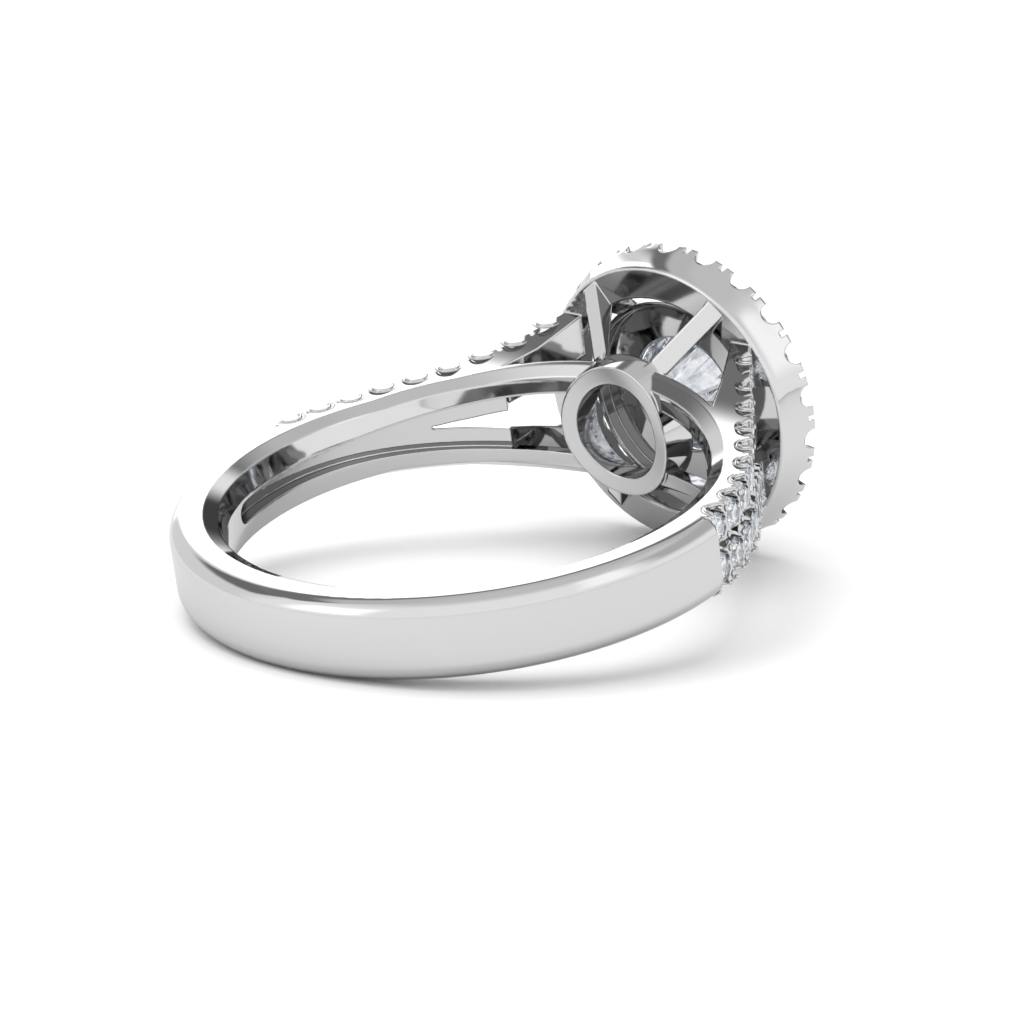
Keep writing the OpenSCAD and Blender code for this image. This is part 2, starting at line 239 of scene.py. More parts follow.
@dataclass
class AxisView:
    """The same triangles in the frame of one axis, which is its Z."""

    mesh: MeshCorners
    turn: np.ndarray
    local: np.ndarray
    flats: np.ndarray
    radius: np.ndarray
    along: np.ndarray

    @classmethod
    def of(cls, mesh: MeshCorners, to_axis: Matrix) -> AxisView:
        """Looks at the triangles from an axis.

        Args:
            mesh: The triangles.
            to_axis: The matrix from the ring's frame to the axis's.

        Returns:
            The view.
        """
        turn = np.array(to_axis.to_3x3())
        local = mesh.corners @ turn.T + np.array(to_axis.translation)
        radius = np.hypot(local[..., 0], local[..., 1])
        return cls(mesh, turn, local, mesh.flats @ turn.T, radius, local[..., 2])


@dataclass(frozen=True)
class SpunFaces:
    """Faces turned about one axis, given by their profile in that axis's own frame.

    A line is a cylinder, a cone or a flat turned face, an arc is a rounded edge or a ball, and a
    run is a row of cones that polishing has made one rounded wall.
    """

    to_axis: Matrix
    lines: tuple[tuple[tuple[float, float], tuple[float, float]], ...] = ()
    arcs: tuple[tuple[float, float, float], ...] = ()
    runs: tuple[tuple[tuple[float, float], ...], ...] = ()
    bend: tuple[float, float, float, float, float] | None = None
    tolerance: float = 0.004
    slack: float = 0.06
    run_slack: float = 0.02
    least_agreement: float = 0.88

    def bent(self, normals: np.ndarray, corners: np.ndarray) -> np.ndarray:
        """Eases the tilt of the shoulders' sides from one flare station to the next.

        Args:
            normals: Corner normals in the ring's frame.
            corners: Those corners.

        Returns:
            The normals turned about Y by the tilt that is due at each corner's X.
        """
        if self.bend is None:
            return normals
        x0, tilt0, x1, tilt1, own = self.bend
        turn = np.interp(corners[..., 0], (x0, x1), (tilt0, tilt1)) - own
        cosine, sine = np.cos(turn), np.sin(turn)
        nx, ny, nz = np.moveaxis(normals, -1, 0)
        return np.stack([nx * cosine + nz * sine, ny, nz * cosine - nx * sine], axis=-1)

    def settle(self, lean: np.ndarray, local: np.ndarray,
               flats: np.ndarray) -> tuple[np.ndarray, np.ndarray]:
        """Turns profile normals into corner normals that face the same way as the mesh.

        Args:
            lean: Radial and axial part of the normal at each corner, shaped faces by 3 by 2.
            local: Corners in the axis's frame, shaped faces by 3 by 3.
            flats: Normal of each face in that frame.

        Returns:
            The corner normals and how well each face agrees with its mean, as a cosine.
        """
        radius = np.maximum(np.hypot(local[..., 0], local[..., 1]), TINY)
        out = np.stack([local[..., 0] / radius * lean[..., 0],
                        local[..., 1] / radius * lean[..., 0], lean[..., 1]], axis=-1)
        agree = np.einsum("fk,fk->f", out.mean(axis=1), flats)
        out *= np.sign(agree)[:, None, None]
        return out, np.abs(agree)

    def claim(self, mesh: MeshCorners) -> None:
        """Writes exact corner normals for the triangles that lie on these turned faces.

        Args:
            mesh: The triangles, whose normals and free marks are changed in place.
        """
        view = AxisView.of(mesh, self.to_axis)
        for line in self.lines:
            self.claim_line(view, *line)
        for points in self.runs:
            self.claim_run(view, points)
        for rc, zc, round_r in self.arcs:
            gap = np.hypot(view.radius - rc, view.along - zc)
            on = (np.abs(gap - round_r) < self.tolerance).all(axis=1) & mesh.free
            lean = [(view.radius[on] - rc) / gap[on], (view.along[on] - zc) / gap[on]]
            self.write(view, on, np.stack(lean, axis=-1))

    def claim_line(self, view: AxisView, start: tuple[float, float],
                   end: tuple[float, float]) -> None:
        """Claims one cylinder, cone or flat turned face.

        Args:
            view: The triangles as the axis sees them.
            start: Radius and height where the line starts.
            end: Radius and height where it ends.
        """
        (r0, z0), (r1, z1) = start, end
        length = math.hypot(r1 - r0, z1 - z0)
        dr, dz = (r1 - r0) / length, (z1 - z0) / length
        off = np.abs((view.radius - r0) * dz - (view.along - z0) * dr)
        run = (view.radius - r0) * dr + (view.along - z0) * dz
        on = (off < self.tolerance).all(axis=1) & (run > -self.slack).all(axis=1)
        on &= (run < length + self.slack).all(axis=1) & view.mesh.free
        self.write(view, on, np.broadcast_to(np.array([dz, -dr]), (int(on.sum()), 3, 2)))

    def claim_run(self, view: AxisView, points: tuple[tuple[float, float], ...]) -> None:
        """Shades a run of cones as the one rounded wall that polishing makes of it.

        Args:
            view: The triangles as the axis sees them.
            points: The run's profile.
        """
        steps = np.diff(np.array(points), axis=0)
        length = np.hypot(steps[:, 0], steps[:, 1])
        own = np.stack([steps[:, 1], -steps[:, 0]], axis=-1) / length[:, None]
        ends = np.vstack([own[:1], own[:-1] + own[1:], own[-1:]])
        for k, (r0, z0) in enumerate(points[:-1]):
            dr, dz = steps[k] / length[k]
            off = np.abs((view.radius - r0) * dz - (view.along - z0) * dr)
            share = ((view.radius - r0) * dr + (view.along - z0) * dz) / length[k]
            on = (off < self.tolerance).all(axis=1) & (share > -self.run_slack).all(axis=1)
            on &= (share < 1 + self.run_slack).all(axis=1) & view.mesh.free
            part = np.clip(share[on], 0.0, 1.0)[..., None]
            lean = ends[k] * (1 - part) + ends[k + 1] * part
            self.write(view, on, lean / np.linalg.norm(lean, axis=-1, keepdims=True))

    def write(self, view: AxisView, on: np.ndarray, lean: np.ndarray) -> None:
        """Stores the normals of the triangles that truly lie on one turned face.

        Args:
            view: The triangles as the axis sees them.
            on: Which triangles lie on the face by distance.
            lean: Profile normals of their corners.
        """
        if not on.any():
            return
        out, agree = self.settle(lean, view.local[on], view.flats[on])
        fits = agree > self.least_agreement
        sure = np.flatnonzero(on)[fits]
        view.mesh.normals[sure] = self.bent((out @ view.turn)[fits], view.mesh.corners[sure])
        view.mesh.free[sure] = False


@dataclass(frozen=True)
class Polisher:
    """Gives a CAD mesh the exact normals of its turned, bored and milled faces.

    A mirror finish shows every facet of a mesh. The corners lie on the true surfaces, so the
    true normals there are known from the sizes of the part.
    """

    sizes: RingSizes = field(default_factory=RingSizes)
    flat_area: float = 0.2
    flat_agreement: float = 0.99999

    def profile(self, *points: tuple[float, float]) -> tuple:
        """Cuts a run of points into its straight lines."""
        return tuple(zip(points[:-1], points[1:]))

    def hoop_faces(self) -> list[SpunFaces]:
        """Faces turned about the finger's axis, and the shoulders' tilted sides.

        Returns:
            The turned faces.
        """
        ring = self.sizes
        reach = ring.halo_base + ring.halo_h
        side = self.profile((ring.finger_r, ring.bore_half),
                            (ring.bevel_r, ring.half_w - ring.bevel_drop),
                            (ring.edge_r, ring.half_w), (reach, ring.half_w))
        tall = 2 * ring.flare_half_w
        start = ring.pave_r * math.cos(math.radians(ring.shoulder_angle))
        made = []
        for up in (1, -1):
            flip = Matrix.Diagonal((1, 1, up, 1))
            first = (start, 0.0, ring.station(0)[0], -up * math.atan(ring.eased_slope(0)), 0.0)
            made.append(SpunFaces(flip, side, bend=first))
            for k in range(len(ring.flare_stations) - 1):
                (x, width), own = ring.station(k), math.atan(ring.flare_slope(k))
                tilt = Matrix.Translation((x, 0, width)) @ Matrix.Rotation(-own, 4, "Y")
                tilt = tilt @ Matrix.Translation((-x, 0, -ring.half_w))
                bend = (x, -up * math.atan(ring.eased_slope(k)), ring.station(k + 1)[0],
                        -up * math.atan(ring.eased_slope(k + 1)), -up * own)
                made.append(SpunFaces(tilt.inverted() @ flip, side, bend=bend))
        back = ring.half_w - ring.outer_round
        rounds = tuple((ring.band_r - ring.outer_round, up * back, ring.outer_round)
                       for up in (1, -1))
        bores = (ring.finger_r, ring.finger_r + ring.overcut, ring.recess_r, ring.rail_r,
                 ring.pave_r, ring.band_r)
        walls = tuple(((r, -tall), (r, tall)) for r in bores)
        grooves = tuple(((ring.pave_r - ring.groove, 0.0),
                         (ring.pave_r + ring.groove, up * ring.groove)) for up in (1, -1))
        made.append(SpunFaces(Matrix.Identity(4), walls + grooves, rounds))
        return made

    def recess_faces(self) -> list[SpunFaces]:
        """The curved side walls of the recess inside the shoulders.

        Returns:
            The turned faces, one about an axis across the shoulders for each side.
        """
        ring = self.sizes
        grow = ring.recess_end_w - ring.recess_half_w
        bow = (ring.base_top**2 + grow**2) / grow / 2
        made = []
        for up in (1, -1):
            shift = Matrix.Translation((0, 0, -up * (ring.recess_half_w + bow)))
            wall = self.profile((bow, -ring.band_r), (bow, ring.band_r))
            made.append(SpunFaces(Matrix.Rotation(math.pi / 2, 4, "X") @ shift, wall))
        return made

    def head_faces(self) -> list[SpunFaces]:
        """Faces turned about the head's axis.

        Returns:
            The turned faces.
        """
        ring = self.sizes
        wall = [(ring.halo_foot_r + growth * (ring.halo_r - ring.halo_foot_r),
                 ring.halo_base + share * ring.halo_h) for share, growth in ring.halo_wall]
        top, low = ring.halo_base + ring.halo_h, ring.halo_wall[0][0] * ring.halo_h
        halo = self.profile((ring.halo_open_r, top), (ring.halo_open_r, ring.halo_base + low),
                            (ring.halo_open_r + low, ring.halo_base),
                            (ring.halo_foot_r - low, ring.halo_base), wall[0])
        halo += self.profile(wall[-1], (ring.halo_open_r, top))
        base = self.profile((ring.base_r, ring.base_foot), (ring.base_top_r, ring.base_top),
                            (ring.base_hole_r, ring.base_top), (ring.base_hole_r, ring.base_foot))
        lip, cup_in = ring.plate_top - ring.cup_wall, ring.cup_r - ring.cup_wall
        cup = self.profile((ring.seat_hole_r, ring.plate_base), (cup_in, ring.plate_base),
                           (cup_in, ring.cup_base), (ring.cup_r, ring.cup_base), (ring.cup_r, lip),
                           (cup_in, ring.plate_top), (ring.centre_seat_r, ring.plate_top),
                           (ring.centre_seat_r, ring.plate_top - ring.stone_gap),
                           (ring.seat_hole_r, ring.plate_base + ring.cup_wall),
                           (ring.seat_hole_r, ring.plate_base))
        upright = Matrix.Rotation(-math.pi / 2, 4, "Y")
        made = [SpunFaces(upright, halo + base + cup, runs=(tuple(wall),))]
        claw_at, ball = ring.centre_r + ring.claw_r / 2, ring.plate_top + ring.claw_h
        for claw in range(ring.claw_count):
            angle = math.radians(ring.claw_angle + 360 / ring.claw_count * claw)
            turn = Matrix.Rotation(-angle, 4, "X")
            place = upright @ Matrix.Translation((0, 0, -claw_at)) @ turn
            shank = self.profile((ring.claw_r, ring.plate_base), (ring.claw_r, ball))
            made.append(SpunFaces(place, shank, ((0.0, ball, ring.claw_r),)))
        return made

    def flat_groups(self, flats: np.ndarray, areas: np.ndarray, mesh: bpy.types.Mesh) -> np.ndarray:
        """Finds the triangles that belong to a flat face of some size.

        Args:
            flats: Normal of each triangle.
            areas: Area of each triangle in square millimetres.
            mesh: The mesh of triangles.

        Returns:
            True for each triangle of such a face.
        """
        parent = list(range(len(flats)))

        def root(i: int) -> int:
            """Follows the links of a triangle to the first of its group.

            Args:
                i: The triangle's number.

            Returns:
                The number of that first triangle.
            """
            while parent[i] != i:
                parent[i] = parent[parent[i]]
                i = parent[i]
            return i

        first: dict[int, int] = {}
        loop_edges = np.zeros(len(mesh.loops), np.int32)
        mesh.loops.foreach_get("edge_index", loop_edges)
        for loop, edge in enumerate(loop_edges):
            face = loop // 3
            other = first.setdefault(int(edge), face)
            if other != face and flats[other] @ flats[face] > self.flat_agreement:
                parent[root(other)] = root(face)
        roots = np.array([root(i) for i in range(len(flats))])
        total = np.bincount(roots, weights=areas, minlength=len(flats))
        return total[roots] > self.flat_area

    def polish(self, piece: bpy.types.Object) -> None:
        """Sets the corner normals of a triangle mesh.

        Args:
            piece: A smooth-shaded piece in the part's frame.
        """
        mesh = piece.data
        count = len(mesh.polygons)
        to_ring = self.sizes.ring_to_part().inverted()
        points = np.zeros(len(mesh.vertices) * 3, np.float64)
        mesh.vertices.foreach_get("co", points)
        turn = np.array(to_ring.to_3x3())
        points = points.reshape(-1, 3) @ turn.T + np.array(to_ring.translation)
        picks = np.zeros(count * 3, np.int32)
        mesh.loops.foreach_get("vertex_index", picks)
        corners = points[picks].reshape(count, 3, 3)
        cross = np.cross(corners[:, 1] - corners[:, 0], corners[:, 2] - corners[:, 0])
        size = np.maximum(np.linalg.norm(cross, axis=1), TINY)
        flats = cross / size[:, None]
        normals = np.zeros(count * 9, np.float64)
        mesh.corner_normals.foreach_get("vector", normals)
        normals = normals.reshape(count, 3, 3) @ (turn / np.linalg.norm(turn[0])).T
        free = np.ones(count, bool)
        shaded = MeshCorners(corners, flats, normals, free)
        for faces in self.hoop_faces() + self.recess_faces() + self.head_faces():
            faces.claim(shaded)
        level = free & self.flat_groups(flats, size / 2, mesh)
        normals[level] = flats[level][:, None, :]
        log.info("normals: %.1f%% of the area turned, %.1f%% flat",
                 100 * size[~free].sum() / size.sum(), 100 * size[level].sum() / size.sum())
        back = normals.reshape(-1, 3) @ (turn / np.linalg.norm(turn[0]))
        mesh.normals_split_custom_set([tuple(normal) for normal in back])


@dataclass(frozen=True)
class NodeDesk:
    """A node tree with short calls that add and join its nodes."""

    tree: bpy.types.NodeTree

    def add(self, kind: str, **values: object) -> bpy.types.Node:
        """Adds a node and sets its properties.

        Args:
            kind: The node's type, such as ShaderNodeMath.
            values: Properties of the node by name.

        Returns:
            The new node.
        """
        node = self.tree.nodes.new(kind)
        for name, value in values.items():
            setattr(node, name, value)
        return node

    def join(self, source: bpy.types.NodeSocket, target: bpy.types.NodeSocket) -> None:
        """Links an output to an input."""
        self.tree.links.new(source, target)

    def math(self, operation: str, first: object, second: object = 0.0) -> bpy.types.NodeSocket:
        """Adds a Math node fed by sockets or numbers.

        Args:
            operation: The node's operation.
            first: A socket or a number.
            second: A socket or a number.

        Returns:
            The node's result.
        """
        node = self.add("ShaderNodeMath", operation=operation)
        self.feed(first, node.inputs[0])
        self.feed(second, node.inputs[1])
        return node.outputs[0]

    def feed(self, value: object, target: bpy.types.NodeSocket) -> None:
        """Gives an input a socket to read, or a number.

        Args:
            value: A socket or a number.
            target: The input.
        """
        if isinstance(value, bpy.types.NodeSocket):
            self.join(value, target)
        else:
            target.default_value = value

    def colours(self, share: bpy.types.NodeSocket, low: object,
                high: object) -> bpy.types.NodeSocket:
        """Mixes two colours.

        Args:
            share: The second colour's share.
            low: The first colour, three numbers or a socket.
            high: The second colour.

        Returns:
            The mixed colour.
        """
        blend = self.add("ShaderNodeMix", data_type="RGBA")
        self.join(share, blend.inputs["Factor"])
        for name, colour in (("A", low), ("B", high)):
            if isinstance(colour, tuple):
                blend.inputs[name].default_value = (*colour, 1.0)
            else:
                self.join(colour, blend.inputs[name])
        return blend.outputs["Result"]

    def smooth(self, value: object, low: float, high: float, at_low: float,
               at_high: float) -> bpy.types.NodeSocket:
        """Adds a smooth step between two values.

        Args:
            value: A socket or a number.
            low: Where the step starts.
            high: Where it ends.
            at_low: The result up to the start.
            at_high: The result from the end.

        Returns:
            The node's result.
        """
        node = self.add("ShaderNodeMapRange", interpolation_type="SMOOTHSTEP")
        for place, given in enumerate((value, low, high, at_low, at_high)):
            self.feed(given, node.inputs[place])
        return node.outputs[0]

    def deepened(self, light: bpy.types.NodeSocket, share: float) -> bpy.types.NodeSocket:
        """Dims a light or paints shade on a colour for a reflection of a reflection, not through a
        stone.

        Args:
            light: The light's strength, or the brightness of a colour that gets painted shade.
            share: What is left of it after the second reflection.

        Returns:
            The strength for the ray at hand.
        """
        ray = self.add("ShaderNodeLightPath")
        left = self.smooth(ray.outputs["Glossy Depth"], 1.0, 2.0, 1.0, share)
        through = self.math("MINIMUM", ray.outputs["Transmission Depth"], 1.0)
        return self.math("MULTIPLY", light, self.math("MAXIMUM", left, through))


@dataclass(frozen=True)
class PolishMarks:
    """The faint waviness and hairlines that hand polishing leaves, as a shader node group."""

    name: str = "polish_marks"
    wave_scale: float = 260.0
    wave_detail: float = 1.0
    hair_scale: float = 2600.0
    hair_detail: float = 3.0
    hair_stretch: tuple[float, float, float] = (1.0, 1.0, 14.0)

    def build(self) -> bpy.types.NodeTree:
        """Makes the group once and returns it after that.

        Returns:
            A group with inputs Wave, Hair and Base Roughness and outputs Roughness and Height.
        """
        found = bpy.data.node_groups.get(self.name)
        if found is not None:
            return found
        tree = bpy.data.node_groups.new(self.name, "ShaderNodeTree")
        for label in ("Base Roughness", "Wave", "Hair"):
            tree.interface.new_socket(label, in_out="INPUT", socket_type="NodeSocketFloat")
        for label in ("Roughness", "Height"):
            tree.interface.new_socket(label, in_out="OUTPUT", socket_type="NodeSocketFloat")
        desk = NodeDesk(tree)
        given = desk.add("NodeGroupInput")
        made = desk.add("NodeGroupOutput")
        place = desk.add("ShaderNodeTexCoord")
        wave = desk.add("ShaderNodeTexNoise")
        wave.inputs["Scale"].default_value = self.wave_scale
        wave.inputs["Detail"].default_value = self.wave_detail
        hair_map = desk.add("ShaderNodeMapping")
        hair_map.inputs["Scale"].default_value = self.hair_stretch
        hair = desk.add("ShaderNodeTexNoise")
        hair.inputs["Scale"].default_value = self.hair_scale
        hair.inputs["Detail"].default_value = self.hair_detail
        desk.join(place.outputs["Object"], wave.inputs["Vector"])
        desk.join(place.outputs["Object"], hair_map.inputs["Vector"])
        desk.join(hair_map.outputs["Vector"], hair.inputs["Vector"])
        rough = desk.math("MULTIPLY", hair.outputs["Fac"], given.outputs["Hair"])
        rough = desk.math("ADD", rough, given.outputs["Base Roughness"])
        height = desk.math("MULTIPLY", wave.outputs["Fac"], given.outputs["Wave"])
        desk.join(rough, made.inputs["Roughness"])
        desk.join(height, made.inputs["Height"])
        return tree


@dataclass(frozen=True)
class PolishedGold:
    """White gold with a bright rhodium skin, polished like a mirror."""

    name: str = "polished_white_gold"
    tint: tuple[float, float, float] = (0.745, 0.745, 0.748)
    roughness: float = 0.04
    hair: float = 0.03
    wave: float = 0.12
    bump_distance: float = 0.004 * MM
    bump_strength: float = 0.25
    edge_radius: float = 0.11 * MM
    edge_samples: int = 8

    def build(self) -> bpy.types.Material:
        """Makes the material.

        Returns:
            The finished material.
        """
        material = bpy.data.materials.new(self.name)
        material.use_nodes = True
        desk = NodeDesk(material.node_tree)
        skin = material.node_tree.nodes["Principled BSDF"]
        skin.inputs["Base Color"].default_value = (*self.tint, 1.0)
        skin.inputs["Metallic"].default_value = 1.0
        marks = desk.add("ShaderNodeGroup", node_tree=PolishMarks().build())
        marks.inputs["Base Roughness"].default_value = self.roughness
        marks.inputs["Wave"].default_value = self.wave
        marks.inputs["Hair"].default_value = self.hair
        bump = desk.add("ShaderNodeBump")
        bump.inputs["Strength"].default_value = self.bump_strength
        bump.inputs["Distance"].default_value = self.bump_distance
        desk.join(marks.outputs["Roughness"], skin.inputs["Roughness"])
        desk.join(marks.outputs["Height"], bump.inputs["Height"])
        soft = desk.add("ShaderNodeBevel", samples=self.edge_samples)
        soft.inputs["Radius"].default_value = self.edge_radius
        desk.join(soft.outputs["Normal"], bump.inputs["Normal"])
        desk.join(bump.outputs["Normal"], skin.inputs["Normal"])
        return material


@dataclass(frozen=True)
class CutDiamond:
    """Clear cut diamond: flat facets, a breath of mist, and a painted glow with small bluish and
    yellowish painted glints.
    """

    name: str = "cut_diamond"
    clear: tuple[float, float, float] = (0.98, 0.985, 1.0)
    misty: tuple[float, float, float] = (0.92, 0.945, 1.0)
    mist_scale: float = 900.0
    mist_roughness: float = 0.012
    # painted glow and glints: emission colours, cell size, thresholds and strength
    painted_glow_base: tuple[float, float, float] = (0.1, 0.11, 0.13)
    painted_cold_glint: tuple[float, float, float] = (0.78, 0.88, 1.0)
    painted_warm_glint: tuple[float, float, float] = (1.0, 0.9, 0.78)
    painted_glint_scale: float = 3600.0
    painted_glint_from: float = 0.65
    painted_glint_to: float = 0.95
    painted_warm_from: float = 0.8
    painted_warm_to: float = 0.85
    painted_glow_strength: float = 0.12
    ior: float = 2.42

    def build(self) -> bpy.types.Material:
        """Makes the material.

        Returns:
            The finished material.
        """
        material = bpy.data.materials.new(self.name)
        material.use_nodes = True
        desk = NodeDesk(material.node_tree)
        skin = material.node_tree.nodes["Principled BSDF"]
        skin.inputs["Metallic"].default_value = 0.0
        skin.inputs["IOR"].default_value = self.ior
        skin.inputs["Transmission Weight"].default_value = 1.0
        # painted glow: the stone gives off light of its own, though it is no lamp
        skin.inputs["Emission Strength"].default_value = self.painted_glow_strength
        place = desk.add("ShaderNodeTexCoord")
        mist = desk.add("ShaderNodeTexNoise")
        mist.inputs["Scale"].default_value = self.mist_scale
        desk.join(place.outputs["Object"], mist.inputs["Vector"])
        tint = desk.colours(mist.outputs["Fac"], self.clear, self.misty)
        desk.join(tint, skin.inputs["Base Color"])
        haze = desk.math("MULTIPLY", mist.outputs["Fac"], self.mist_roughness)
        desk.join(haze, skin.inputs["Roughness"])
        # painted glints: Voronoi cells give each patch a low, bluish or yellowish emission colour
        cells = desk.add("ShaderNodeTexVoronoi")
        cells.inputs["Scale"].default_value = self.painted_glint_scale
        desk.join(place.outputs["Object"], cells.inputs["Vector"])
        picks = desk.add("ShaderNodeSeparateColor")
        desk.join(cells.outputs["Color"], picks.inputs["Color"])
        warm_glint_share = desk.smooth(picks.outputs["Green"], self.painted_warm_from, self.painted_warm_to, 0.0, 1.0)
        glint_share = desk.smooth(picks.outputs["Red"], self.painted_glint_from, self.painted_glint_to, 0.0, 1.0)
        painted_glints = desk.colours(glint_share, self.painted_glow_base, desk.colours(warm_glint_share, self.painted_cold_glint, self.painted_warm_glint))
        desk.join(painted_glints, skin.inputs["Emission Color"])
        return material


@dataclass(frozen=True)
class StudioPaper:
    """Seamless white paper under the ring, with painted shade where only the metal sees it."""

    name: str = "studio_paper"
    tint: tuple[float, float, float] = (0.93, 0.93, 0.93)
    # painted shade of the paper in reflections: this share near the ring, the next one further off
    shaded: float = 0.74
    painted_dim_far: float = 0.77
    deep_share: float = 0.28
    painted_shade_middle: tuple[float, float, float] = (0.001, 0.011, 0.0)
    painted_shade_from: float = 0.012
    painted_shade_to: float = 0.019
    roughness: float = 0.6
    specular: float = 0.1

    def build(self) -> bpy.types.Material:
        """Makes the material.

        Returns:
            The finished material.
        """
        material = bpy.data.materials.new(self.name)
        material.use_nodes = True
        skin = material.node_tree.nodes["Principled BSDF"]
        skin.inputs["Roughness"].default_value = self.roughness
        skin.inputs["Specular IOR Level"].default_value = self.specular
        desk = NodeDesk(material.node_tree)
        place = desk.add("ShaderNodeTexCoord")
        gap = desk.add("ShaderNodeVectorMath", operation="DISTANCE")
        desk.join(place.outputs["Object"], gap.inputs[0])
        gap.inputs[1].default_value = self.painted_shade_middle
        # painted shade: seen in the metal, the paper is painted darker near the ring, as if in its
        # shadow, and dimmer further off
        far = desk.smooth(gap.outputs["Value"], self.painted_shade_from, self.painted_shade_to, self.shaded,
                          self.painted_dim_far)
        # painted shade: darker again in a reflection of a reflection
        far = desk.deepened(far, self.deep_share)
        ray = desk.add("ShaderNodeLightPath")
        # camera rays see the plain paper; only glossy rays get the painted shade
        seen = desk.math("SUBTRACT", 1.0, ray.outputs["Is Glossy Ray"])
        white = desk.colours(desk.math("MAXIMUM", far, seen), (0.0, 0.0, 0.0), self.tint)
        desk.join(white, skin.inputs["Base Color"])
        return material


@dataclass
class DressedMount:
    """The cast metal of the ring with softened edges and smooth polished faces.

    A merged copy of the CAD node takes exact normals, and its metal rounds the look of every edge.
    """

    node: str = "ring_mount"
    merge: float = 0.002 * MM
    smooth_angle: float = math.radians(28)
    finish: PolishedGold = field(default_factory=PolishedGold)

    def shape(self) -> bpy.types.Object:
        """Copies and merges the CAD node's mesh.

        Returns:
            The piece that stands for the node.
        """
        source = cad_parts[self.node]
        piece = bpy.data.objects.new("polished_mount", source.data.copy())
        bpy.context.scene.collection.objects.link(piece)
        make_active(piece)
        bpy.ops.object.mode_set(mode="EDIT")
        bpy.ops.mesh.select_all(action="SELECT")
        bpy.ops.mesh.remove_doubles(threshold=self.merge)
        bpy.ops.object.mode_set(mode="OBJECT")
        bpy.ops.object.shade_smooth_by_angle(angle=self.smooth_angle)
        Polisher().polish(piece)
        return piece

    def build(self) -> bpy.types.Object:
        """Shapes and dresses the mount.

        Returns:
            The finished piece.
        """
        piece = self.shape()
        wear(piece, self.finish.build())
        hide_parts(self.node)
        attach(piece, BODY)
        return piece


